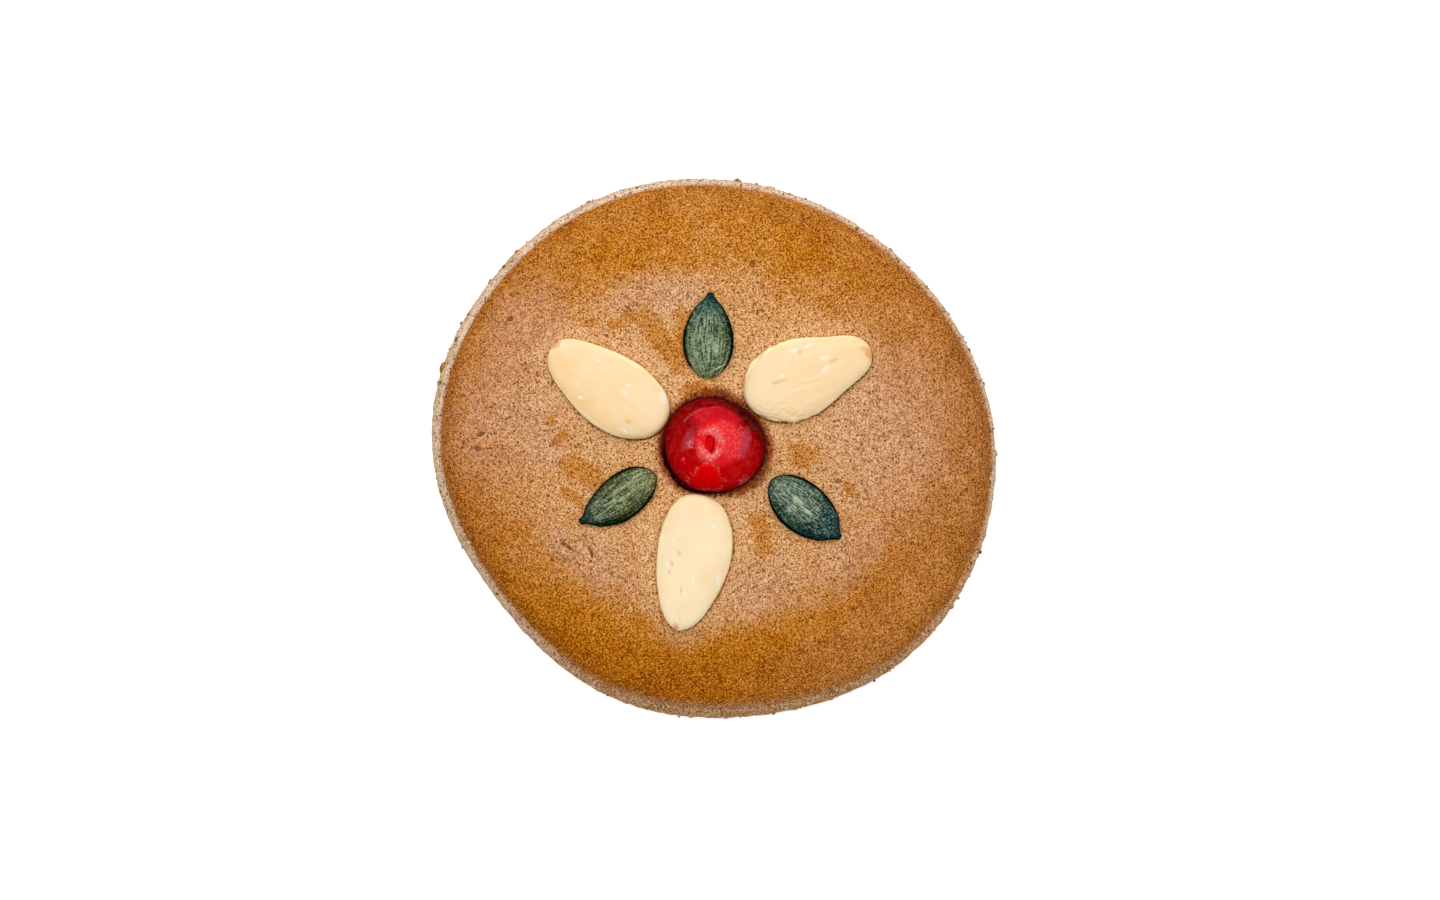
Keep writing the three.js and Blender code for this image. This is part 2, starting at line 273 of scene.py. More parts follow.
# Stage, in metres apart from the floor's gap and the camera
LIGHT_GAIN = 1.3  # how much brighter than its own colour a level surface comes out
SHADED_SIDE = -65  # where the toppings' shade falls
FLOOR_SIZE = 4
FLOOR_GAP = 0.1  # keeps the base and the floor from lying in one plane
FLOOR_GLOW = 0.35
SOFTBOX_SIZE = (1.8, 1.6)
SOFTBOX_PLACE = (-0.02, 0.27, 0.9)
SOFTBOX_POWER = 21.3
ROOM_LIGHT = 0.15
CAMERA_PLACE = (1.07, -0.25, 560)
CAMERA_LENS = 84.9
CAMERA_SENSOR = 36


# Plain sums

def smooth(low, high, value):
    """0 below low, 1 above high and an even curve between them."""
    share = np.clip((value - low) / (high - low), 0, 1)
    return share * share * (3 - 2 * share)


def bump(value, width):
    """1 at zero, falling away evenly on both sides."""
    return np.exp(-((value / width) ** 2))


def ripple(points, size, seed):
    """Smooth unevenness from about -1 to 1, with waves about size across."""
    shift = Vector((17.3 * seed, 5.1 * seed, 9.7 * seed))
    return np.array([noise.noise(Vector(point) + shift) for point in points / size])


def unevenness(points, ripples):
    """A sum of ripples, each with its height, size and seed."""
    return sum(height * ripple(points, size, seed) for height, size, seed in ripples)


def facing(angle, towards):
    """1 where an angle in radians points towards a heading in degrees, -1 where it points away."""
    return np.cos(angle - math.radians(towards))


def lobes(angle, *parts):
    """A sum of one-sided swellings, each with its heading, height and narrowness."""
    return sum(height * facing(angle, towards).clip(0) ** narrow for towards, height, narrow in parts)


def wavy(angle, waves):
    """How far an uneven outline lies outside a round one at an angle in radians."""
    return sum(reach * np.cos(count * (angle - math.radians(towards))) for count, reach, towards in waves)


def cubic(start, pull, aim, end, count):
    """Points on a cubic curve."""
    t = np.linspace(0, 1, count)[:, None]
    start, pull, aim, end = (np.array(p, float) for p in (start, pull, aim, end))
    return (1 - t) ** 3 * start + 3 * (1 - t) ** 2 * t * pull + 3 * (1 - t) * t**2 * aim + t**3 * end


def own_axes(x, y, heading):
    """How far a place lies ahead and to the left along a heading."""
    turn = math.radians(heading)
    return x * math.cos(turn) + y * math.sin(turn), y * math.cos(turn) - x * math.sin(turn)


def patches(x, y, spots, frayed, soft):
    """How deep a place lies in any of some frayed oval patches, from 0 outside them to 1."""
    depth = np.zeros(len(x))
    for middle_x, middle_y, half_length, half_width, heading in spots:
        ahead, left = own_axes(x - middle_x, y - middle_y, heading)
        inside = 1 - np.hypot(ahead / half_length, left / half_width)
        depth = np.maximum(depth, smooth(-soft, soft, inside + frayed))
    return depth


# Meshes

def ball_rings(rings, around):
    """Points of a ball of radius 1 made of rings, with their headings in radians and their rings' radii."""
    elevation = np.linspace(math.pi / 2, -math.pi / 2, rings + 2)[1:-1]
    heading = np.linspace(0, 2 * math.pi, around, endpoint=False)
    elevation, heading = (grid.ravel() for grid in np.meshgrid(elevation, heading, indexing="ij"))
    flat = np.cos(elevation)
    points = np.stack([flat * np.cos(heading), flat * np.sin(heading), np.sin(elevation)], 1)
    return points, heading, flat


def ring_faces(rings, around):
    """Faces of a closed skin made of a first pole, rings of points and a last pole."""
    faces = []
    for j in range(around):
        following = (j + 1) % around
        faces.append((0, 1 + j, 1 + following))
        for i in range(rings - 1):
            near, far = 1 + i * around, 1 + (i + 1) * around
            faces.append((near + j, far + j, far + following, near + following))
        last = 1 + (rings - 1) * around
        faces.append((last + following, last + j, 1 + rings * around))
    return faces


def with_poles(first, rings, last):
    """Rings of points or numbers with one more before and after them."""
    return np.concatenate([[first], rings, [last]])


def make_piece(name, points, faces, material, masks, place=None):
    """A smooth piece from points in millimetres, with a number per point for each mask."""
    mesh = bpy.data.meshes.new(name)
    mesh.from_pydata((np.asarray(points) * MM).tolist(), [], faces)
    for mask, values in masks.items():
        mesh.attributes.new(mask, "FLOAT", "POINT").data.foreach_set("value", values.astype(np.float32))
    mesh.shade_smooth()
    mesh.materials.append(material)
    piece = bpy.data.objects.new(name, mesh)
    scene.collection.objects.link(piece)
    if place:
        piece.location, piece.rotation_euler = place
    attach(piece, "root")
    return piece


def make_skin(name, node, poles, rings, steps, material, masks, place=None):
    """A piece closed by two poles, with masks given per ring point, that stands for its solid."""
    points = with_poles(poles[0], rings, poles[1])
    masks = {mask: with_poles(values[0], values, values[-1]) for mask, values in masks.items()}
    piece = make_piece(name, points, ring_faces(*steps), material, masks, place)
    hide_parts(node)


# Shader nodes

def paint(red, green, blue):
    """The surface colour that comes out as a picture colour, from 0 to 255, under this scene's light."""
    shares = np.array((red, green, blue)) / 255
    light = np.where(shares <= 0.04045, shares / 12.92, ((shares + 0.055) / 1.055) ** 2.4)
    return (*(light / LIGHT_GAIN), 1.0)


def put(socket, value):
    """Links a socket to another one, or sets its value."""
    if isinstance(value, bpy.types.NodeSocket):
        socket.id_data.links.new(value, socket)
    else:
        socket.default_value = value


def put_all(sockets, values):
    """Links or sets sockets by name, where _ stands for a space."""
    for name, value in values.items():
        put(sockets[name.replace("_", " ")], value)


class Nodes:
    """A node tree with short ways to add to it."""

    def __init__(self, tree):
        self.tree = tree

    def add(self, kind, settings=None, **inputs):
        """A new node with its settings and its inputs by name."""
        node = self.tree.nodes.new(kind)
        for name, value in (settings or {}).items():
            setattr(node, name, value)
        put_all(node.inputs, inputs)
        return node

    def sum_of(self, operation, *values, kind="ShaderNodeMath"):
        """A number, or with another kind a place, worked out from others."""
        node = self.add(kind, {"operation": operation})
        for socket, value in zip(node.inputs, values):
            put(socket, value)
        return node.outputs[0]

    def times(self, first, second):
        """Two numbers multiplied."""
        return self.sum_of("MULTIPLY", first, second)

    def span(self, value, low, high, to_low=0.0, to_high=1.0):
        """A number moved from one span to another, smoothly and without leaving it."""
        node = self.add("ShaderNodeMapRange", {"interpolation_type": "SMOOTHSTEP"}, Value=value)
        put_all(node.inputs, {"From Min": low, "From Max": high, "To Min": to_low, "To Max": to_high})
        return node.outputs["Result"]

    def blend(self, share, first, second, way="MIX"):
        """Two colours mixed by a share."""
        node = self.add("ShaderNodeMix", {"data_type": "RGBA", "blend_type": way})
        for number, value in ((0, share), (6, first), (7, second)):  # its sockets for colours
            put(node.inputs[number], value)
        return node.outputs[2]

    def ramp(self, value, stops):
        """A colour from a row of picture colours."""
        node = self.add("ShaderNodeValToRGB", Fac=value)
        elements = node.color_ramp.elements
        while len(elements) < len(stops):
            elements.new(1.0)
        for element, (place, colour) in zip(elements, stops):
            element.position = place
            element.color = paint(*colour)
        return node.outputs["Color"]

    def cloud(self, place, size, detail, seed, rough=0.5):
        """Cloudy noise from 0 to 1 with lumps about size millimetres across."""
        spread = self.sum_of("DIVIDE", 1 / MM, size)
        lumps = {"Vector": place, "W": seed, "Scale": spread, "Detail": detail, "Roughness": rough}
        return self.add("ShaderNodeTexNoise", {"noise_dimensions": "4D"}, **lumps).outputs["Fac"]


class Effect(Nodes):
    """A node group with a place in space and numbers as its inputs, and numbers as its outputs."""

    def __init__(self, name, inputs, outputs):
        super().__init__(bpy.data.node_groups.new(name, "ShaderNodeTree"))
        sockets = self.tree.interface
        sockets.new_socket("Place", in_out="INPUT", socket_type="NodeSocketVector")
        for label in inputs:
            sockets.new_socket(label, in_out="INPUT", socket_type="NodeSocketFloat")
        for label in outputs:
            sockets.new_socket(label, in_out="OUTPUT", socket_type="NodeSocketFloat")
        self.given = self.tree.nodes.new("NodeGroupInput").outputs
        self.made = self.tree.nodes.new("NodeGroupOutput").inputs


def grain_effect():
    """Sandy grain: its dark and light shares, scattered dark dots, and a height."""
    grain = Effect("sandy grain", ("Size", "Seed"), ("Dark", "Light", "Dots", "Height"))
    place, size, seed = (grain.given[label] for label in ("Place", "Size", "Seed"))
    shade = grain.cloud(place, size, 1.0, seed)
    moved = grain.sum_of("ADD", place, seed, kind="ShaderNodeVectorMath")
    sizes_apart = 2.4
    spread = grain.sum_of("DIVIDE", 1 / MM / sizes_apart, size)
    cells = grain.add("ShaderNodeTexVoronoi", Vector=moved, Scale=spread).outputs
    picked = grain.add("ShaderNodeSeparateColor", Color=cells["Color"]).outputs["Red"]
    reach = grain.span(picked, 0.2, 1.0, 0.05, 0.34)
    dots = grain.span(grain.sum_of("DIVIDE", cells["Distance"], reach), 1.2, 0.6)
    height = grain.sum_of("SUBTRACT", shade, grain.times(dots, 0.3))
    dark, light = grain.span(shade, 0.52, 0.34), grain.span(shade, 0.48, 0.66)
    put_all(grain.made, {"Dark": dark, "Light": light, "Dots": dots, "Height": height})
    return grain.tree


def fray_effect():
    """A soft mask with a finely frayed edge."""
    fray = Effect("frayed edge", ("Depth", "Size", "Reach", "Soft", "Seed"), ("Mask",))
    given = fray.given
    cloud = fray.cloud(given["Place"], given["Size"], 3.0, given["Seed"], 0.65)
    ragged = fray.sum_of("SUBTRACT", cloud, 0.5)
    depth = fray.sum_of("MULTIPLY_ADD", ragged, given["Reach"], given["Depth"])
    low = fray.sum_of("SUBTRACT", 0.5, given["Soft"])
    high = fray.sum_of("ADD", 0.5, given["Soft"])
    inside = fray.span(given["Depth"], 0.0, 0.15)
    put(fray.made["Mask"], fray.times(inside, fray.span(depth, low, high)))
    return fray.tree


def blotch_effect():
    """Soft-edged blotches of one size."""
    blotch = Effect("blotches", ("Size", "Low", "High", "Seed"), ("Mask",))
    given = blotch.given
    cloud = blotch.cloud(given["Place"], given["Size"], 3.0, given["Seed"])
    put(blotch.made["Mask"], blotch.span(cloud, given["Low"], given["High"]))
    return blotch.tree


def streak_effect():
    """Streaks along a piece's own X axis."""
    streak = Effect("streaks", ("Length", "Width", "Seed"), ("Mask", "Height"))
    given = streak.given
    narrow = streak.sum_of("DIVIDE", given["Width"], given["Length"])
    squeeze = streak.add("ShaderNodeCombineXYZ", X=narrow, Y=1.0, Z=1.0).outputs["Vector"]
    scaled = streak.sum_of("MULTIPLY", given["Place"], squeeze, kind="ShaderNodeVectorMath")
    lines = streak.cloud(scaled, given["Width"], 2.0, given["Seed"])
    put_all(streak.made, {"Mask": streak.span(lines, 0.35, 0.7), "Height": lines})
    return streak.tree


GRAIN = grain_effect()
FRAYED = fray_effect()
BLOTCHES = blotch_effect()
STREAKS = streak_effect()


class Finish(Nodes):
    """A material while it is made: its nodes, its shader's inputs and the colour laid on so far."""

    def __init__(self, name):
        self.material = bpy.data.materials.new(name)
        self.material.use_nodes = True
        super().__init__(self.material.node_tree)
        self.shader = self.tree.nodes["Principled BSDF"].inputs

    def mask(self, name):
        """The number per point that a piece carries under that name."""
        return self.add("ShaderNodeAttribute", {"attribute_name": name}).outputs["Fac"]

    def own_place(self):
        """Where a point lies in its piece's own axes, in metres."""
        return self.add("ShaderNodeTexCoord").outputs["Object"]

    def effect(self, group, place=None, **inputs):
        """An effect's outputs, at the piece's own place unless another one is given."""
        inputs["Place"] = place or self.own_place()
        return self.add("ShaderNodeGroup", {"node_tree": group}, **inputs).outputs

    def blotches(self, size, low, high, seed):
        """Soft-edged blotches about size across, from a low to a high mark of cloudiness."""
        return self.effect(BLOTCHES, Size=size, Low=low, High=high, Seed=seed)["Mask"]

    def frayed(self, name, size, reach, soft, seed):
        """A mask of the piece with its edge frayed."""
        settings = {"Size": size, "Reach": reach, "Soft": soft, "Seed": seed}
        return self.effect(FRAYED, Depth=self.mask(name), **settings)["Mask"]

    def lay(self, mask, most, colour):
        """Lays a picture colour over what is there, by a mask and going no further than a share."""
        self.colour = self.blend(self.times(mask, most), self.colour, paint(*colour))

    def deepen(self, mask, most, shares):
        """Leaves only shares of red, green and blue, by a mask and going no further than a share."""
        self.colour = self.blend(self.times(mask, most), self.colour, (*shares, 1), "MULTIPLY")

    def add_grain(self, grain, dark, light, pale):
        """Lays sandy grain over the colour: darker and deeper, and paler, by the given shares."""
        self.deepen(grain["Dark"], dark, (0.42, 0.32, 0.18))
        self.colour = self.blend(self.times(grain["Light"], light), self.colour, pale)

    def done(self, height, depth, **inputs):
        """The material, with fine relief of a depth in millimetres and the shader's other inputs."""
        fine = self.add("ShaderNodeBump", Height=height, Strength=1.0, Distance=depth * MM)
        put_all(self.shader, {"Base Color": self.colour, "Normal": fine.outputs["Normal"], **inputs})
        return self.material


# Finishes

def side_colour(crust):
    """Pale porous side, toasted where it faces the front, and the floury base."""
    patch = crust.blotches(1.6, 0.3, 0.7, 5.0)
    crust.colour = crust.ramp(crust.mask("drop"), SIDE_TONES)
    crust.lay(patch, 0.35, (210, 172, 134))
    crust.lay(crust.mask("toast"), 1.0, (192, 132, 62))
    base = crust.blend(patch, paint(206, 160, 112), paint(222, 186, 146))
    return crust.blend(crust.mask("under"), crust.colour, base)


def skin_colour(crust, browning, pool):
    """Glazed skin from pale to dark brown, with painted pinkish glaze sheen at two sides, painted pink-white
    sheen patches and orange pools.
    """
    # painted sheen: the pinkish browns stand for glaze reflection at two sides
    browned, rosy = crust.ramp(browning, SKIN_BROWNS), crust.ramp(browning, SKIN_PAINTED_SHEEN)
    crust.colour = crust.blend(crust.mask("rosy"), browned, rosy)
    # painted sheen: pink-white glaze reflection patches
    crust.lay(crust.frayed("bloom", 2.2, 1.2, 0.45, 3.0), 0.5, (222, 168, 136))
    crust.lay(crust.mask("dusted"), 0.3, (232, 186, 138))
    crust.lay(pool, 0.75, (194, 116, 22))
    return crust.colour


def crust_finish():
    """The biscuit's skin, side and base, with grain, specks, painted sheen crossed by painted shade in
    wrinkles, cracks, a painted shadow round the toppings and a scorched crater with syrup staining and
    painted shade in its gap.
    """
    crust = Finish("baked crust")
    grain = crust.effect(GRAIN, Size=0.26, Seed=1.0)
    mottled = crust.sum_of("MULTIPLY_ADD", crust.blotches(4.5, 0.3, 0.7, 2.0), 0.2, crust.mask("browning"))
    flecked = crust.sum_of("MULTIPLY_ADD", crust.blotches(1.3, 0.3, 0.7, 6.0), 0.12, mottled)
    browning = crust.sum_of("SUBTRACT", flecked, 0.16)
    on_skin = crust.mask("skin")
    pool = crust.frayed("pool", 0.6, 1.5, 0.22, 4.0)
    side = side_colour(crust)
    crust.colour = crust.blend(on_skin, side, skin_colour(crust, browning, pool))
    pale = crust.blend(crust.span(browning, 0.2, 0.9), paint(255, 218, 170), paint(244, 170, 62))
    pale = crust.blend(crust.times(pool, 0.65), pale, paint(240, 166, 56))
    pale = crust.blend(on_skin, paint(248, 226, 202), pale)
    crust.add_grain(grain, 0.9, 0.58, pale)
    crust.lay(grain["Dots"], 0.85, (104, 50, 10))
    specks = crust.effect(GRAIN, Size=0.46, Seed=12.0)["Dots"]
    crust.lay(crust.times(specks, crust.blotches(2.4, 0.48, 0.6, 13.0)), 0.7, (118, 58, 12))
    # painted shade along the wrinkles that cross the painted sheen patches
    wave = crust.cloud(crust.own_place(), 2.4, 1.0, 9.0)
    painted_wrinkle_shade = crust.span(crust.sum_of("ABSOLUTE", crust.sum_of("SUBTRACT", wave, 0.5)), 0.05, 0.0)
    crust.lay(crust.times(painted_wrinkle_shade, crust.mask("bloom")), 0.45, (158, 92, 56))
    crust.lay(crust.frayed("crack", 0.5, 1.2, 0.15, 7.0), 0.7, (88, 42, 14))
    crust.deepen(crust.frayed("scorch", 0.5, 1.4, 0.45, 5.0), 1.0, (0.39, 0.15, 0.07))
    # painted shadow: a dark line round each bud, widest on its shaded side
    crust.lay(crust.frayed("contact", 0.5, 0.5, 0.12, 8.0), 0.9, (84, 46, 4))
    # syrup staining round the crater, with painted shade where the gap opens at the lower left
    crust.lay(crust.frayed("stain", 0.4, 1.0, 0.2, 6.0), 1.0, (86, 18, 12))
    shine = {"Specular IOR Level": 0.01, "Specular Tint": (1.0, 0.75, 0.4, 1)}
    return crust.done(grain["Height"], 0.1, Roughness=crust.span(on_skin, 0.0, 1.0, 0.85, 0.45), **shine)


def almond_finish(name, marks, seed):
    """Smooth blanched almond: cream with faint tan blotches, pale nicks and a brown scar at its tip, and
    painted light on its steep flank.
    """
    nut = Finish(name)
    tan = nut.blotches(6.0, 0.45, 0.75, seed)
    haze = nut.blotches(3.5, 0.5, 0.8, seed + 3.0)
    scratch = nut.effect(STREAKS, Length=2.0, Width=0.45, Seed=seed + 5.0)
    bands = nut.effect(STREAKS, Length=9.0, Width=1.2, Seed=seed + 6.0)["Mask"]
    flecks = nut.effect(GRAIN, Size=0.7, Seed=seed + 7.0)["Dots"]
    nut.colour = nut.blend(nut.mask("warm"), paint(*marks.cream), paint(*marks.warm_cream))
    nut.lay(tan, 0.4, (252, 208, 148))
    nut.lay(haze, 0.35, (248, 230, 190))
    nut.lay(bands, 0.25, (255, 238, 202))
    nut.lay(scratch["Mask"], 0.1, (255, 242, 212))
    nut.lay(nut.times(flecks, haze), 0.5, (255, 248, 226))
    # painted light: the almond's steep flank, which lies in shade, is painted bright cream
    nut.colour = nut.blend(nut.mask("edge"), nut.colour, (1.0, 0.8, 0.45, 1))
    nut.lay(nut.frayed("tan", 0.6, 1.2, 0.3, seed), 0.5, (240, 178, 110))
    nut.lay(nut.frayed("pale", 0.4, 1.8, 0.3, seed), 0.6, (255, 252, 238))
    nut.lay(nut.frayed("scar", 0.8, 1.0, 0.45, seed), 0.75, (228, 158, 98))
    flesh = {"Subsurface Weight": 0.3, "Subsurface Radius": (1.0, 0.85, 0.65), "Subsurface Scale": 1.5 * MM}
    rough = nut.span(tan, 0.0, 1.0, 0.4, 0.55)
    return nut.done(scratch["Height"], 0.03, Roughness=rough, Specular_IOR_Level=0.06, **flesh)


def seed_finish(name, marks, seed):
    """Green pumpkin seed, streaked from end to end, dusty in the middle and darker towards its tip, with
    painted shade on one flank.
    """
    hull = Finish(name)
    flow = hull.add("ShaderNodeCombineXYZ", X=hull.mask("along"), Y=hull.mask("across")).outputs["Vector"]
    streaks = hull.effect(STREAKS, flow, Length=2.6, Width=0.24, Seed=seed)["Height"]
    bands = hull.effect(STREAKS, flow, Length=4.0, Width=0.9, Seed=seed + 3.0)["Mask"]
    grain = hull.effect(GRAIN, Size=0.3, Seed=seed + 1.0)
    cloud = hull.blotches(2.2, 0.35, 0.65, seed + 2.0)
    dusty = hull.times(hull.mask("middle"), hull.span(cloud, 0.0, 1.0, 0.35, 1.0))
    furrow = (0.22, 0.28, 0.22)
    hull.colour = hull.blend(hull.mask("front"), paint(*marks.green), paint(*marks.teal))
    hull.lay(hull.mask("blunt"), 0.6, marks.blunt)
    hull.deepen(bands, 0.9, (0.4, 0.47, 0.4))
    hull.lay(dusty, 0.38, marks.dust)
    hull.lay(dusty, hull.span(streaks, 0.47, 0.61), marks.dust)
    hull.deepen(hull.span(streaks, 0.53, 0.41), 0.9, furrow)
    hull.deepen(grain["Dark"], 0.55, furrow)
    hull.lay(grain["Light"], 0.32, (206, 216, 186))
    hull.lay(hull.mask("tip"), 1.0, (8, 42, 44))
    # painted shade on one flank
    hull.deepen(hull.mask("shade"), 1.0, marks.shade)
    hull.lay(hull.frayed("seam", 0.4, 1.8, 0.3, seed), 0.55, (206, 214, 176))
    hull.lay(hull.mask("rim"), 1.0, (6, 20, 15))
    hull.lay(hull.mask("pale_end"), 1.0, (196, 196, 130))
    rough = hull.span(dusty, 0.0, 1.0, 0.45, 0.7)
    return hull.done(streaks, 0.05, Roughness=rough, Specular_IOR_Level=0.002)


def cherry_finish():
    """Candied cherry: dark red, with painted light and shade: darker at its top and brighter towards its
    bottom, a lit top, a bright sheen, purplish reflections, a glow where light gathers and a shaded far edge,
    and a sugared ring at its hole with painted highlights.
    """
    fruit = Finish("candied cherry")
    sugar = fruit.effect(GRAIN, Size=0.4, Seed=4.0)
    frost = fruit.mask("frost")
    # painted shading from the top to the bottom
    fruit.colour = fruit.ramp(fruit.mask("low"), CHERRY_PAINTED_SHADING_REDS)
    fruit.lay(fruit.blotches(3.0, 0.3, 0.7, 1.0), 0.3, (190, 0, 6))
    # painted light: a lit patch at the top
    fruit.lay(fruit.frayed("lit", 1.2, 0.5, 0.35, 1.0), 0.8, (208, 20, 38))
    # painted sheen: a bright middle
    fruit.lay(fruit.frayed("core", 0.9, 0.7, 0.45, 6.0), 0.95, (232, 28, 34))
    dusty = fruit.span(sugar["Height"], 0.4, 0.58, 0.25, 0.95)
    # painted sheen
    fruit.lay(fruit.frayed("sheen", 0.7, 1.4, 0.2, 3.0), dusty, (236, 66, 70))
    # painted reflection: purplish crescents
    fruit.lay(fruit.frayed("mauve", 1.0, 0.9, 0.45, 2.0), 0.45, (168, 66, 84))
    # painted light: the glow low down
    fruit.lay(fruit.frayed("glow", 0.8, 1.5, 0.25, 4.0), 0.9, (234, 0, 2))
    # painted shade: darker at the far edge
    fruit.lay(fruit.mask("deep"), 1.0, (72, 0, 0))
    # sugar speckles, with painted highlights round the hole and along the lit patch's edge
    fruit.lay(frost, fruit.span(sugar["Light"], 0.0, 1.0, 0.25, 1.0), (255, 172, 166))
    fruit.lay(fruit.frayed("hole", 0.5, 1.0, 0.12, 5.0), 0.95, (214, 4, 10))
    fruit.lay(fruit.frayed("brink", 0.4, 1.2, 0.2, 7.0), 0.8, (128, 0, 2))
    shine = {"Specular IOR Level": 0.002, "Specular Tint": (1.0, 0.4, 0.45, 1)}
    flesh = {"Subsurface Weight": 0.1, "Subsurface Radius": (1.0, 0.1, 0.08), "Subsurface Scale": 1.5 * MM}
    rough = fruit.span(sugar["Light"], 0.0, 1.0, 0.15, 0.25)
    return fruit.done(fruit.times(sugar["Height"], frost), 0.03, Roughness=rough, **shine, **flesh)


def crumb_finish():
    """Loose crumbs, from pale to toasted, and soaked with red syrup near the cherry."""
    crumb = Finish("crumb")
    grain = crumb.effect(GRAIN, Size=0.4, Seed=7.0)
    crumb.colour = crumb.ramp(crumb.mask("toast"), CRUMB_TONES)
    crumb.add_grain(grain, 0.6, 0.2, paint(240, 214, 180))
    crumb.lay(crumb.mask("syrup"), 1.0, (58, 8, 5))
    return crumb.done(grain["Height"], 0.1, Roughness=0.8, Specular_IOR_Level=0.01)


# Biscuit

dome_line = cubic(
    (0, CROWN_HEIGHT),
    (CROWN_REACH, CROWN_HEIGHT),
    (SKIN_EDGE_RADIUS - SHOULDER_LEAN, SKIN_EDGE_HEIGHT + SHOULDER_RISE),
    (SKIN_EDGE_RADIUS, SKIN_EDGE_HEIGHT),
    DOME_LINE_POINTS,
)
side_line = cubic(
    (SKIN_EDGE_RADIUS, SKIN_EDGE_HEIGHT),
    ((BISCUIT_RADIUS + SKIN_EDGE_RADIUS) / 2, SKIN_EDGE_HEIGHT),
    (BISCUIT_RADIUS, WIDEST_HEIGHT + SIDE_RISE),
    (BISCUIT_RADIUS, WIDEST_HEIGHT),
    SIDE_LINE_POINTS,
)
foot_line = cubic(
    (BISCUIT_RADIUS, WIDEST_HEIGHT),
    (BISCUIT_RADIUS, WIDEST_HEIGHT / 3),
    (FOOT_RADIUS + (BISCUIT_RADIUS - FOOT_RADIUS) * 2 / 3, 0),
    (FOOT_RADIUS, 0),
    FOOT_LINE_POINTS,
)


def dome_height(x, y):
    """Height of the plain dome above a place on the base."""
    return np.interp(np.hypot(x, y), dome_line[:, 0], dome_line[:, 1])


def collar_height(x, y):
    """How high the dough is squeezed up round the cherry."""
    height, radius, width = COLLAR
    return height * bump(np.hypot(x - CHERRY.x, y - CHERRY.y) - radius, width)


def cherry_radius(angle):
    """The cherry's uneven outline, seen from above."""
    return CHERRY.radius + wavy(angle, CHERRY_WAVES)


def bud_half_width(along, bud):
    """Half width of a bud, from -1 at its blunt end to 1 at its point, which may be snub."""
    blunt, point = bud.blunt, bud.point
    widest = (blunt - point) / (blunt + point)
    along = np.clip(along, -1, 1)
    place = along - bud.snub * smooth(SNUB_START, 1, along)
    taper = ((1 + place) / (1 + widest)) ** blunt * ((1 - place) / (1 - widest)) ** point
    return bud.width / 2 * taper * np.sqrt(1 - along.clip(0) ** SNUB_ROUNDNESS)


def bud_middle(along, bud):
    """How far a bud's middle line lies to the left of its axis."""
    return (bud.bow + bud.lean * along) * (1 - along**2)


def bud_slopes(bud):
    """The dome's slope under a bud, along its heading and to its left."""
    heading = math.radians(bud.heading)
    slopes = []
    for angle, step in ((heading, bud.length / 4), (heading + math.pi / 2, bud.width / 4)):
        dx, dy = step * math.cos(angle), step * math.sin(angle)
        rise = dome_height(bud.x + dx, bud.y + dy) - dome_height(bud.x - dx, bud.y - dy)
        slopes.append(float(rise) / (2 * step))
    return slopes


def bud_place(bud, form):
    """Where a bud sits and how it is turned, as in the solids."""
    ahead, left = bud_slopes(bud)
    spot = Vector((bud.x, bud.y, float(dome_height(bud.x, bud.y)) + form.rise)) * MM
    return spot, Euler((math.atan(left), -math.atan(ahead), math.radians(bud.heading)), "XYZ")


def bud_ground(x, y, bud, form):
    """Distance outside a bud's outline, which way that is, and the height of its widest line."""
    ahead, left = own_axes(x - bud.x, y - bud.y, bud.heading)
    outline_along = -np.cos(np.linspace(0, math.pi, ALMOND_STEPS))
    half = bud_half_width(outline_along, bud)
    middle = bud_middle(outline_along, bud)
    line_x = np.tile(outline_along * bud.length / 2, 2)
    line_y = np.concatenate([middle + half, middle - half])
    near = np.hypot(ahead, left) < bud.length / 2 + SEAT_REACH
    gap_x, gap_y = ahead[near, None] - line_x, left[near, None] - line_y
    nearest = np.hypot(gap_x, gap_y).argmin(1)[:, None]
    gap_x, gap_y = (np.take_along_axis(gap, nearest, 1)[:, 0] for gap in (gap_x, gap_y))
    away, outward = np.full(len(x), FAR), np.zeros(len(x))
    away[near] = np.hypot(gap_x, gap_y)
    outward[near] = math.radians(bud.heading) + np.arctan2(gap_y, gap_x)
    along = ahead / (bud.length / 2)
    inside = (abs(along) < 1) & (abs(left - bud_middle(along, bud)) < bud_half_width(along, bud))
    away[inside] *= -1
    slope_ahead, slope_left = bud_slopes(bud)
    level = dome_height(bud.x, bud.y) + form.rise + slope_ahead * ahead + slope_left * left
    return away, outward, level


def biscuit_rings():
    """Distance from the middle, height, outward lean, upward lean and way below the skin's edge of each ring,
    from under the cherry to the foot and in over the base."""
    base_line = np.array([(radius, 0) for radius in BASE_RINGS])
    line = np.vstack([dome_line, side_line[1:], foot_line[1:], base_line])
    walked = np.concatenate([[0], np.cumsum(np.hypot(*np.diff(line, axis=0).T))])
    edge = walked[len(dome_line) - 1]
    foot = walked[-1 - len(base_line)]
    stops = np.concatenate([
        HIDDEN_RINGS,
        np.arange(CRATER_INNER, CRATER_OUTER, CRATER_STEP),
        np.arange(CRATER_OUTER, TOPPED_RADIUS, TOPPED_STEP),
        np.linspace(TOPPED_RADIUS, edge, int((edge - TOPPED_RADIUS) / BARE_STEP)),
        np.linspace(edge, foot, int((foot - edge) / SIDE_STEP))[1:],
        walked[-len(base_line):],
    ])
    distance, height = (np.interp(stops, walked, column) for column in line.T)
    step_out, step_up = np.gradient(distance, stops), np.gradient(height, stops)
    length = np.hypot(step_out, step_up)
    return distance, height, -step_up / length, step_out / length, stops - edge


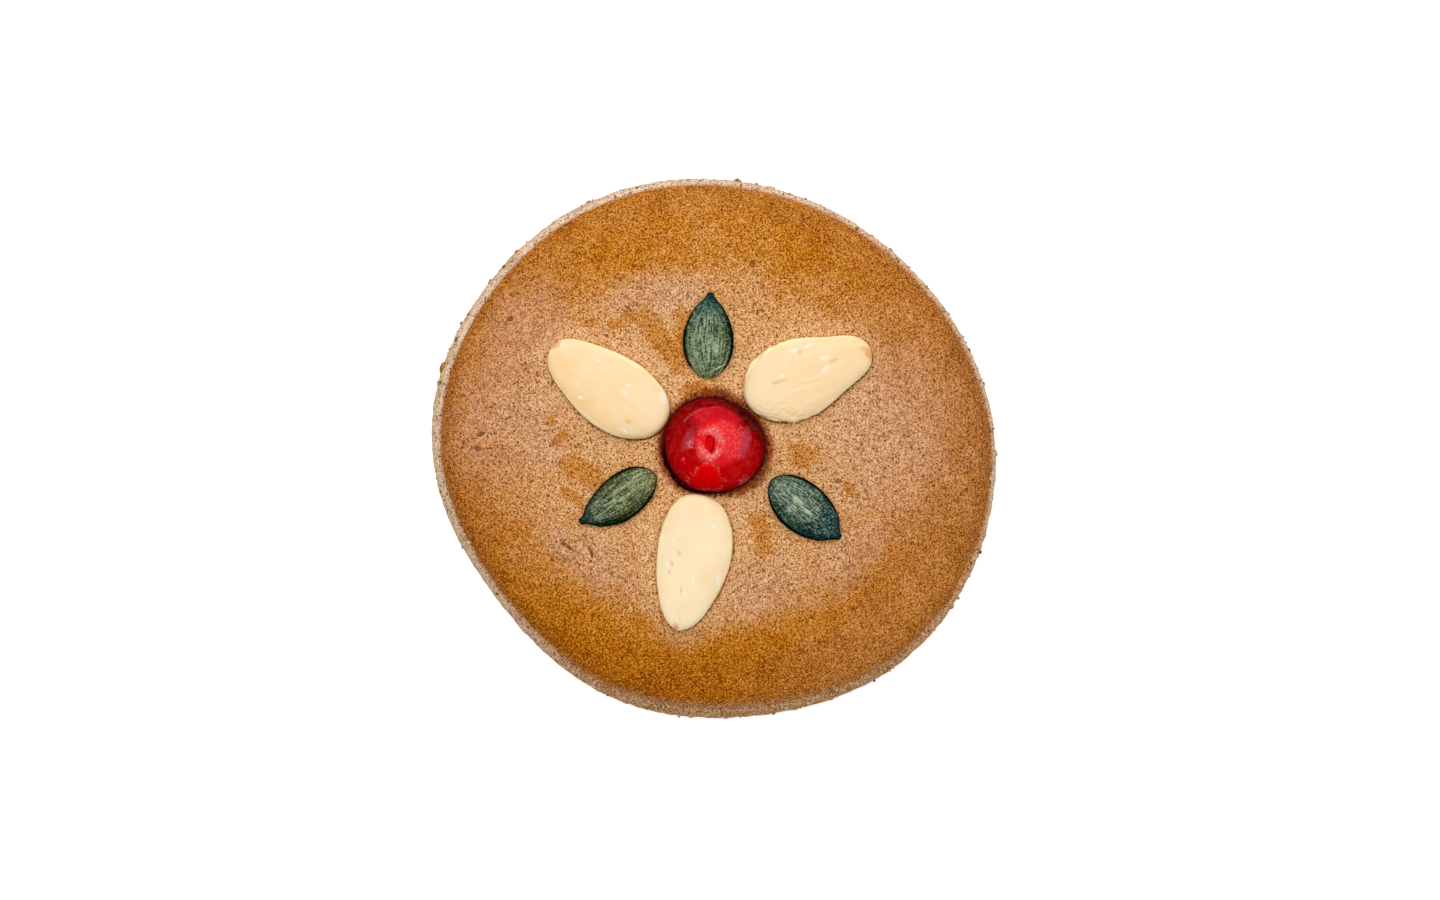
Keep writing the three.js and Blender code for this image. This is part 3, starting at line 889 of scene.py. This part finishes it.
def biscuit_place(distance, height, angle):
    """Where a place on the turned section lies, with the uneven outline and the top's slide."""
    radius = distance + wavy(angle, OUTLINE_WAVES) * (distance / BISCUIT_RADIUS) ** 2
    slide = TOP_SLIDE[0] * smooth(WIDEST_HEIGHT, SKIN_EDGE_HEIGHT, height)
    slide_turn = math.radians(TOP_SLIDE[1])
    x = radius * np.cos(angle) + slide * math.cos(slide_turn) + BISCUIT_MIDDLE[0]
    y = radius * np.sin(angle) + slide * math.sin(slide_turn) + BISCUIT_MIDDLE[1]
    return x, y


def skin_share(points, angle, below_edge):
    """How far a place is glazed skin, whose edge wanders and is softer and higher at the front."""
    soft = 0.42 + lobes(angle, (266, 1.9, 3), (80, 0.4, 2))
    drop = 0.4 + 0.3 * facing(angle, -10) + lobes(angle, (95, -0.5, 1), (215, 0.45, 3), (270, -1.3, 4))
    return 1 - smooth(-1, 1, (below_edge - drop + unevenness(points, SKIN_WANDER)) / soft)


def baked_relief(points, height, below_edge):
    """How far the skin's lumps and the side's crags and pores stand out of the plain form."""
    on_side = smooth(-0.4, 0.6, below_edge) * smooth(0, 0.6, height)
    lumps, crags = unevenness(points, SKIN_LUMPS), unevenness(points, SIDE_CRAGS)
    pores = -0.45 * smooth(0.28, 0.6, ripple(points, 1.1, 18))
    return lumps * (1 - on_side) * smooth(0, 0.5, height) + (crags + pores) * on_side


def seat_relief(x, y, z):
    """The dough's height with a seat for each bud, and round it the dark line of painted shadow, widest on
    its shaded side, and the pale dust.
    """
    contact, dusted = np.zeros(len(x)), np.zeros(len(x))
    for bud, form in [(bud, ALMOND_FORM) for bud in ALMONDS] + [(bud, SEED_FORM) for bud in SEEDS]:
        away, outward, level = bud_ground(x, y, bud, form)
        hug = bump(np.maximum(away, 0), HUG[0])
        shaded = 0.5 + 0.5 * facing(outward, SHADED_SIDE)
        z = z + (level - HUG[1] - z) * hug
        z = z - form.groove * bump(away - 0.1, 0.25) - form.seat * smooth(-0.15, -0.9, away)
        half_line = form.line * shaded - 0.09
        contact = np.maximum(contact, 0.5 + 1.6 * (half_line - abs(away - 0.08)))
        dusted = np.maximum(dusted, form.dusted * bump(away - 1.2, 1.7))
    return z, {"contact": contact, "dusted": dusted}


def crater_relief(points, x, y, z):
    """The dough's height with the cherry's crater, how scorched its edge is, and how far syrup staining and
    painted shade of the gap reach.
    """
    direction = np.arctan2(y - CHERRY.y, x - CHERRY.x)
    away = np.hypot(x - CHERRY.x, y - CHERRY.y) - cherry_radius(direction)
    near = away < CRATER_REACH
    broken = np.zeros(len(x))
    broken[near] = unevenness(points[near], CRATER_BREAKS)
    gap = lobes(direction, (222, 1.1, 3)) - 0.4
    open_gap = 1 - smooth(-0.2, 0.2, away - gap + 0.7 * broken)
    towards, *reaches = np.array(CRATER_EDGE).T
    stain_and_gap_shade_reach, scorched = (np.interp(np.degrees(direction), towards, reach, period=360) for reach in reaches)
    scorch = (0.5 + 0.6 * (scorched - away - 0.6 * broken)).clip(0, 1)
    stain = (0.5 + stain_and_gap_shade_reach - away - 0.8 * broken).clip(0, 1)
    return z - CRATER_DEPTH * open_gap, {"scorch": scorch, "stain": stain}


def top_shades(points, x, y):
    """How brown the skin is, how much painted pinkish glaze sheen it has, and where it has painted sheen
    patches, pools of glaze and cracks.
    """
    distance, angle = np.hypot(x, y), np.arctan2(y, x)
    cloud = ripple(points, 9.0, 11)
    fray = unevenness(points, SKIN_FRAY)
    late = lobes(angle, (152, 5.5, 8)) * (1 - 0.95 * smooth(28, 35, distance))
    late = late + lobes(angle, (262, 3.0, 30)) * (1 - smooth(30, 34, distance))
    browned = smooth(22, 43, distance + lobes(angle, *EARLY_BROWN) - late + 2.0 * cloud + 0.6 * fray)
    # browner towards the front and paler at the sides: partly the skin's browning, partly painted shade
    strength = 0.67 + wavy(angle, ((1, 0.1, 255), (2, 0.08, 80))) - lobes(angle, (300, 0.14, 16))
    browning = 0.12 + browned * strength + 0.06 * ripple(points, 4.0, 12)
    browning = browning + 0.085 * bump(distance - 31, 3.5) * smooth(-0.9, -0.7, facing(angle, -15))
    # painted sheen: pinkish glaze reflection at the right and left, and along the back and front-right rims
    rosy = smooth(22, 32, distance) * np.maximum(lobes(angle, (3, 1.0, 4)), lobes(angle, (172, 0.8, 6)))
    rosy = rosy + smooth(36, 41, distance) * lobes(angle, (85, 0.4, 2))
    rosy = rosy + smooth(33, 37, distance) * lobes(angle, (302, 0.5, 12))
    return {
        "browning": browning,
        "rosy": rosy.clip(0, 1),
        "bloom": patches(x, y, PAINTED_SHEEN_PATCHES, 0.4 * fray, 0.9),
        "pool": patches(x, y, POOLS, 0.6 * fray, 0.6),
        "crack": patches(x, y, CRACKS, 0.4 * fray, 0.7),
    }


def biscuit_piece():
    """The baked dough: glazed dome with a seat for each topping, pale crumbly side and flat base."""
    rings = biscuit_rings()
    ring_count = len(rings[0])
    distance, height, out, up, below_edge = (np.repeat(values, AROUND) for values in rings)
    angle = np.tile(np.linspace(0, 2 * math.pi, AROUND, endpoint=False), ring_count)
    x, y = biscuit_place(distance, height, angle)
    plain = np.stack([x, y, height], 1)
    raised = baked_relief(plain, height, below_edge)
    x = x + raised * out * np.cos(angle)
    y = y + raised * out * np.sin(angle)
    z = height + raised * up

    wave = np.sin(2 * math.pi * x / SWELL[1]) * np.cos(2 * math.pi * y / SWELL[2])
    top = z + SWELL[0] * wave * (1 - np.hypot(x, y) / BISCUIT_RADIUS) + collar_height(x, y)
    shades = top_shades(plain, x, y)
    # darker band just inside the skin's edge, spared at the back and front-right: partly browning, partly
    # painted shade on the shoulder's slope
    bare_edge = lobes(angle, (85, 0.9, 2), (292, 1.0, 2))
    shades["browning"] += 0.3 * (1 - bare_edge) * bump(below_edge + 1.2, 2.0)
    top, seat_masks = seat_relief(x, y, top - CRACK_DEPTH * shades["crack"])
    top, crater_masks = crater_relief(plain, x, y, top)
    z = np.where(below_edge < -TOP_INSET, top, z)

    masks = {**shades, **seat_masks, **crater_masks, "skin": skin_share(plain, angle, below_edge)}
    masks = {name: values * (height > 0) for name, values in masks.items()}
    toast = 0.8 * smooth(0.35, 0.9, facing(angle, 280)) + 0.25 * smooth(0, 0.5, ripple(plain, 4.0, 19))
    masks["toast"] = toast.clip(0, 1)
    masks["under"] = 1 - smooth(0, 1.2, height)
    masks["drop"] = (below_edge / 3).clip(0, 1)
    crater_floor = (CHERRY.x, CHERRY.y, CHERRY.height - CHERRY.keel - 1)
    poles = (crater_floor, (*BISCUIT_MIDDLE, 0))
    points = np.stack([x, y, z.clip(0)], 1)
    steps = (ring_count, AROUND)
    make_skin("glazed_biscuit", "biscuit", poles, points, steps, crust_finish(), masks)


# Toppings

def bud_skin(bud, form, steps):
    """Rings of points of a bud along +X, with where each lies along and around it."""
    along = -np.cos(np.linspace(0, math.pi, steps + 1))[1:-1]
    turn = -np.linspace(0, 2 * math.pi, steps, endpoint=False)
    along, turn = (grid.ravel() for grid in np.meshgrid(along, turn, indexing="ij"))
    half = bud_half_width(along, bud)
    fullness = np.sqrt(2 * half / bud.width)
    lift = np.sin(turn)
    rise = np.where(lift > 0, form.dome, form.keel)
    rounding = np.where(lift > 0, form.dome_round, form.keel_round)
    x = along * bud.length / 2
    y = np.cos(turn) * half + bud_middle(along, bud)
    z = np.sign(lift) * abs(lift) ** rounding * rise * fullness
    return np.stack([x, y, z], 1), along, turn


def bud_piece(kind, number, bud, marks):
    """One bud, shaped and masked by the rule of its kind, that stands for its solid."""
    points, along, turn = bud_skin(bud, kind.form, kind.steps)
    raised, masks = kind.shape(bud, marks, kind.seed + 5 * number, points, along, turn)
    points[:, 1] += raised * np.cos(turn)
    points[:, 2] += raised * np.sin(turn)
    poles = ((-bud.length / 2, 0, 0), (bud.length / 2, 0, 0))
    steps = (kind.steps - 1, kind.steps)
    name, node = f"{kind.name}_{number}", f"{kind.slot}_{number}"
    finish = kind.finish(name.replace("_", " "), marks, 10.0 * number)
    make_skin(name, node, poles, points, steps, finish, masks, bud_place(bud, kind.form))


def almond_shape(bud, marks, seed, points, along, turn):
    """How far an almond half's dents, nicks, nibbled edge and wrinkles stand out, and its masks."""
    x, y = points[:, 0], points[:, 1]
    edge = abs(np.cos(turn))
    above = smooth(0, 0.3, np.sin(turn))
    fray = 0.4 * ripple(points, 0.9, seed + 3)
    spots = {"pale": marks.pale, "tan": marks.tan, "scar": marks.scar}
    masks = {name: patches(x, y, ovals, fray - 0.2, 0.7) * above for name, ovals in spots.items()}
    # the steep flank that gets painted light
    masks["edge"] = smooth(0.86, 0.99, edge)
    masks["warm"] = smooth(-5, 5, own_axes(x, y, marks.warm_side - bud.heading)[0])
    dents = unevenness(points, ((0.12, 5.5, seed), (0.05, 2.2, seed + 1)))
    dents = dents - 0.15 * patches(x, y, marks.dents, fray, 0.8) - 0.08 * masks["pale"]
    nibbled = marks.wrinkled * smooth(0.85, 0.97, edge) * smooth(0.2, -0.4, along)
    dents = dents + 0.5 * ripple(points, 1.6, seed + 4) * nibbled
    folds = np.sin(1.8 * x + 5.0 * y + 8.0 * ripple(points, 1.5, seed + 2))
    wrinkled = marks.wrinkled * bump(along + 0.55, 0.35) * smooth(0.1, 0.6, -np.cos(turn)) * above
    masks["tan"] = np.maximum(masks["tan"], 0.5 * smooth(-0.4, -0.95, folds) * wrinkled)
    return (dents + 0.055 * folds * wrinkled) * smooth(1.0, 0.93, abs(along)), masks


def seed_shape(bud, marks, seed, points, along, turn):
    """How far a seed's border, ripples and seams stand out, with its stubby point, and its masks."""
    edge = abs(np.cos(turn))
    above = smooth(0.05, 0.3, np.sin(turn))
    fray = 0.5 * ripple(points, 0.9, seed + 2)
    side = math.radians(bud.heading) + np.sign(np.cos(turn)) * math.pi / 2
    towards, most = marks.flank
    shaded = most * (0.3 + 0.7 * smooth(-0.2, 0.8, facing(side, towards))) * smooth(-1.2, 0.6, along)
    pale_end = marks.pale_end * smooth(-0.72, -0.9, along)
    outline = np.maximum(edge, smooth(-0.94, -0.99, along))
    dust_end, dust_side = marks.dusted
    dust_ahead = smooth(dust_end + 0.35, dust_end - 0.25, along + 0.3 * fray)
    dust_across = smooth(0.95, 0.2, abs(np.cos(turn) - dust_side))
    seam = patches(points[:, 0], points[:, 1], marks.seams, 0.6 * fray, 0.5) * above
    border = 0.10 * bump(edge - 0.9, 0.04) - 0.10 * bump(edge - 0.8, 0.06)
    ripples = 0.05 * ripple(points * (0.25, 1.0, 1.0), 0.9, seed) + 0.06 * ripple(points, 3.0, seed + 1)
    masks = {
        "rim": smooth(0.83, 0.90, outline + 0.05 * fray) * (1 - 0.8 * pale_end),
        "shade": shaded * smooth(0.35, 0.75, edge + 0.1 * fray),
        "pale_end": pale_end * smooth(0.9, 0.95, outline) * above,
        "front": smooth(-0.1, 0.6, along + 0.2 * fray),
        "tip": 0.95 * smooth(0.5, 1.0, along + 0.15 * fray),
        "blunt": smooth(-0.3, -0.8, along + 0.2 * fray),
        "middle": dust_across * smooth(-1.0, -0.7, along) * dust_ahead,
        "seam": seam,
        "along": points[:, 0] * MM,
        "across": np.cos(turn) * points[:, 1].max() * MM,
    }
    half = bud_half_width(along, bud)
    stub = SEED_STUB * np.sqrt(1 - along.clip(0) ** 50)
    necked = np.maximum(half * (1 - 0.25 * bump(along - 0.86, 0.1)), stub)
    points[:, 1] += np.cos(turn) * np.where(along > 0.5, necked - half, 0)
    return (border * above + ripples + 0.08 * seam) * smooth(1.0, 0.85, abs(along)), masks


def cherry_masks(points, angle, flat, lift, from_hole):
    """Where light and shade are painted on the cherry: its brighter bottom, a lit top, a bright sheen in the
    middle and to the right, purplish reflections, a glow low down and a shaded far edge; and where it is
    sugared, with painted highlights round its hole.
    """
    x, y = points[:, 0], points[:, 1]
    fray = unevenness(points, CHERRY_FRAY)
    glow = patches(x, y, CHERRY_GLOW, 0.4 * fray, 0.5)
    arc = np.hypot(x + 0.2, y) - CHERRY_ARC
    # painted highlight: a thin line along the lit patch's edge
    arc_line = bump(arc, 0.14) * smooth(0.75, 1.0, facing(angle, 112)) * smooth(-0.4, 0.2, fray)
    glow_edge = bump(glow - 0.35, 0.25) * smooth(-0.2, 0.3, fray)
    radius, width = CHERRY_RING
    ring = bump(from_hole - radius, width) * smooth(-0.5, 0.3, fray + ripple(points, 1.6, 26))
    sugared = patches(x, y, CHERRY_SUGAR, fray, 0.5)
    masks = {
        "glow": glow,
        "frost": (ring + 0.45 * glow_edge + 0.45 * sugared + 0.4 * arc_line).clip(0, 1),
        "hole": patches(x, y, CHERRY_PIT, 0.45 * fray, 0.5),
        "brink": patches(x, y, CHERRY_BRINK, 0.4 * fray, 0.6),
        "sheen": patches(x, y, CHERRY_SHEEN, 0.0, 0.7),
        "core": 1 - smooth(2.4, 5.0, np.hypot(x - 0.4, y - 0.3) + 0.5 * fray),
        "lit": smooth(0.2, -0.2, arc) * smooth(0.5, 0.9, facing(angle, 86)),
        "mauve": patches(x, y, CHERRY_MAUVE_REFLECTIONS, 0.0, 0.7),
    }
    masks = {name: values * smooth(0, 0.1, lift) for name, values in masks.items()}
    # painted shade: the far edge, darkest at the upper right
    far_side = lobes(angle, (42, 1.0, 5))
    # painted light: brighter towards the bottom, darker towards the top
    masks["low"] = smooth(7.0, -7.0, y)
    masks["deep"] = smooth(0.79 - 0.1 * far_side, 0.97 - 0.07 * far_side, flat) * (0.2 + 0.75 * far_side)
    return masks


def cherry_piece():
    """Half a candied cherry with a dimple where the stone came out."""
    unit, angle, flat = ball_rings(*CHERRY_STEPS)
    lift = unit[:, 2]
    uneven = 1 + unevenness(unit, CHERRY_LUMPS)
    x, y = (unit[:, axis] * cherry_radius(angle) * uneven for axis in (0, 1))
    from_hole = np.hypot((x - CHERRY_HOLE[0]) * 1.3, y - CHERRY_HOLE[1])
    dimple = CHERRY_DIMPLE[0] * bump(from_hole, CHERRY_DIMPLE[1])
    above = lift * CHERRY.dome * uneven - dimple + 0.05 * ripple(unit, 0.35, 23)
    below = -(abs(lift) ** CHERRY.keel_round) * CHERRY.keel
    z = np.where(lift > 0, above, below)
    points = np.stack([x, y, z], 1)
    masks = cherry_masks(points, angle, flat, lift, from_hole)
    poles = ((0, 0, z[:CHERRY_STEPS[1]].mean()), (0, 0, -CHERRY.keel))
    place = (Vector((CHERRY.x, CHERRY.y, CHERRY.height)) * MM, Euler((0, 0, 0)))
    make_skin("candied_cherry", "cherry", poles, points, CHERRY_STEPS, cherry_finish(), masks, place)


# Crumbs

def side_spot(angle, down):
    """A place on the side at an angle in radians, with down from 0 at the skin's edge to 1 at the foot."""
    line = np.vstack([side_line, foot_line[1:]])
    distance, height = line[int(down * (len(line) - 1))]
    x, y = biscuit_place(distance, height, angle)
    return np.array([x, y, height])


def crumbs_piece(name, crumbs, finish):
    """Loose crumbs as one piece, each with its place, heading, half sizes, lean, toast and syrup."""
    ball = with_poles((0, 0, 1), ball_rings(*CRUMB_STEPS)[0], (0, 0, -1))
    ball_faces = ring_faces(*CRUMB_STEPS)
    points, faces, toast, syrup = [], [], [], []
    for number, (spot, turn, size, lean, toasted, soaked) in enumerate(crumbs):
        lumpy = ball * (1 + 0.35 * ripple(ball * 1.3, 1.0, number))[:, None] * size
        points.append(lumpy @ np.array(Euler((0, -lean, turn)).to_matrix()).T + spot)
        faces.extend(tuple(number * len(ball) + corner for corner in face) for face in ball_faces)
        toast.append(np.full(len(ball), toasted))
        syrup.append(np.full(len(ball), soaked))
    masks = {"toast": np.concatenate(toast), "syrup": np.concatenate(syrup)}
    make_piece(name, np.concatenate(points), faces, finish, masks)


def side_crumbs():
    """Crumbs stuck to the side, and one flake of caramel on its left."""
    random = np.random.default_rng(CRUMB_SEED)
    crumbs = []
    for _ in range(SIDE_CRUMBS.count):
        angle = random.uniform(0, 2 * math.pi)
        size = random.uniform(*SIDE_CRUMBS.size) * random.uniform(*CRUMB_STRETCH, 3)
        spot = side_spot(angle, random.uniform(*SIDE_CRUMBS.drop))
        lean = random.uniform(*CRUMB_LEAN)
        crumbs.append((spot, angle, size, lean, random.choice(SIDE_CRUMBS.toasts), 0.0))
    for towards, down, size, toasted in BIG_CRUMBS:
        angle = math.radians(towards)
        lean = random.uniform(*CRUMB_LEAN)
        crumbs.append((side_spot(angle, down), angle, np.array(size), lean, toasted, 0.0))
    return crumbs


def crater_crumbs():
    """Dark syrupy crumbs of the broken dough round the cherry, most of them on its right."""
    random = np.random.default_rng(CRUMB_SEED)
    crumbs = []
    for _ in range(CRATER_CRUMBS.count):
        angle = math.radians(random.normal(*CRATER_CRUMBS.spread))
        outside = random.uniform(*CRATER_CRUMBS.reach)
        distance = cherry_radius(angle) + outside
        x = CHERRY.x + distance * math.cos(angle)
        y = CHERRY.y + distance * math.sin(angle)
        spot = np.array([x, y, float(dome_height(x, y)) + collar_height(x, y)])
        size = random.uniform(*CRATER_CRUMBS.size) * random.uniform(*CRUMB_STRETCH, 3)
        soaked = 1 - 0.4 * outside * random.uniform(0.5, 1.5)
        lean = random.uniform(*CRUMB_LEAN)
        crumbs.append((spot, angle, size, lean, random.uniform(*CRATER_CRUMBS.toast), soaked))
    return crumbs


# Stage

def add_floor():
    """A plain white floor that is seen through from below."""
    white = Finish("white floor")
    glow = {"Emission Color": (1, 1, 1, 1), "Emission Strength": FLOOR_GLOW}
    plain = {"Base Color": (0.98, 0.98, 0.98, 1), "Roughness": 0.9, "Specular IOR Level": 0.1}
    put_all(white.shader, {**plain, **glow})
    from_below = white.add("ShaderNodeNewGeometry").outputs["Backfacing"]
    one_sided = white.add("ShaderNodeMixShader", Fac=from_below)
    put(one_sided.inputs[1], white.tree.nodes["Principled BSDF"].outputs["BSDF"])
    put(one_sided.inputs[2], white.add("ShaderNodeBsdfTransparent").outputs["BSDF"])
    put(white.tree.nodes["Material Output"].inputs["Surface"], one_sided.outputs["Shader"])
    bpy.ops.mesh.primitive_plane_add(size=FLOOR_SIZE)
    floor = bpy.context.object
    floor.name = "floor"
    floor.location.z = -FLOOR_GAP * MM
    floor.data.materials.append(white.material)


def add_lights():
    """A very large soft light above, a little to the back, and a dim even room."""
    lamp = bpy.data.lights.new("softbox", "AREA")
    lamp.shape = "RECTANGLE"
    lamp.size, lamp.size_y = SOFTBOX_SIZE
    lamp.energy = SOFTBOX_POWER
    softbox = bpy.data.objects.new("softbox", lamp)
    softbox.location = SOFTBOX_PLACE
    softbox.rotation_euler = (-softbox.location).to_track_quat("-Z", "Y").to_euler()
    scene.collection.objects.link(softbox)
    scene.world = bpy.data.worlds.new("room")
    scene.world.use_nodes = True
    room = scene.world.node_tree.nodes["Background"].inputs
    put_all(room, {"Color": (1, 1, 1, 1), "Strength": ROOM_LIGHT})


def add_camera():
    """Straight above, with the biscuit as large and as far off the middle as in the photograph."""
    lens = bpy.data.cameras.new("camera")
    lens.sensor_width = CAMERA_SENSOR
    lens.lens = CAMERA_LENS
    camera = bpy.data.objects.new("camera", lens)
    camera.location = Vector(CAMERA_PLACE) * MM
    scene.collection.objects.link(camera)
    scene.camera = camera


scene.view_settings.view_transform = "Standard"
add_floor()
add_lights()
add_camera()
biscuit_piece()
almond = Specs(name="blanched_almond", slot="almond", form=ALMOND_FORM, steps=ALMOND_STEPS, seed=40,
               finish=almond_finish, shape=almond_shape)
pumpkin_seed = Specs(name="hulled_seed", slot="pumpkin_seed", form=SEED_FORM, steps=SEED_STEPS, seed=60,
                     finish=seed_finish, shape=seed_shape)
for kind, buds, all_marks in ((almond, ALMONDS, ALMOND_MARKS), (pumpkin_seed, SEEDS, SEED_MARKS)):
    for number, (bud, marks) in enumerate(zip(buds, all_marks), 1):
        bud_piece(kind, number, bud, marks)
cherry_piece()
loose_crumb = crumb_finish()
crumbs_piece("side_crumbs", side_crumbs(), loose_crumb)
crumbs_piece("crater_crumbs", crater_crumbs(), loose_crumb)
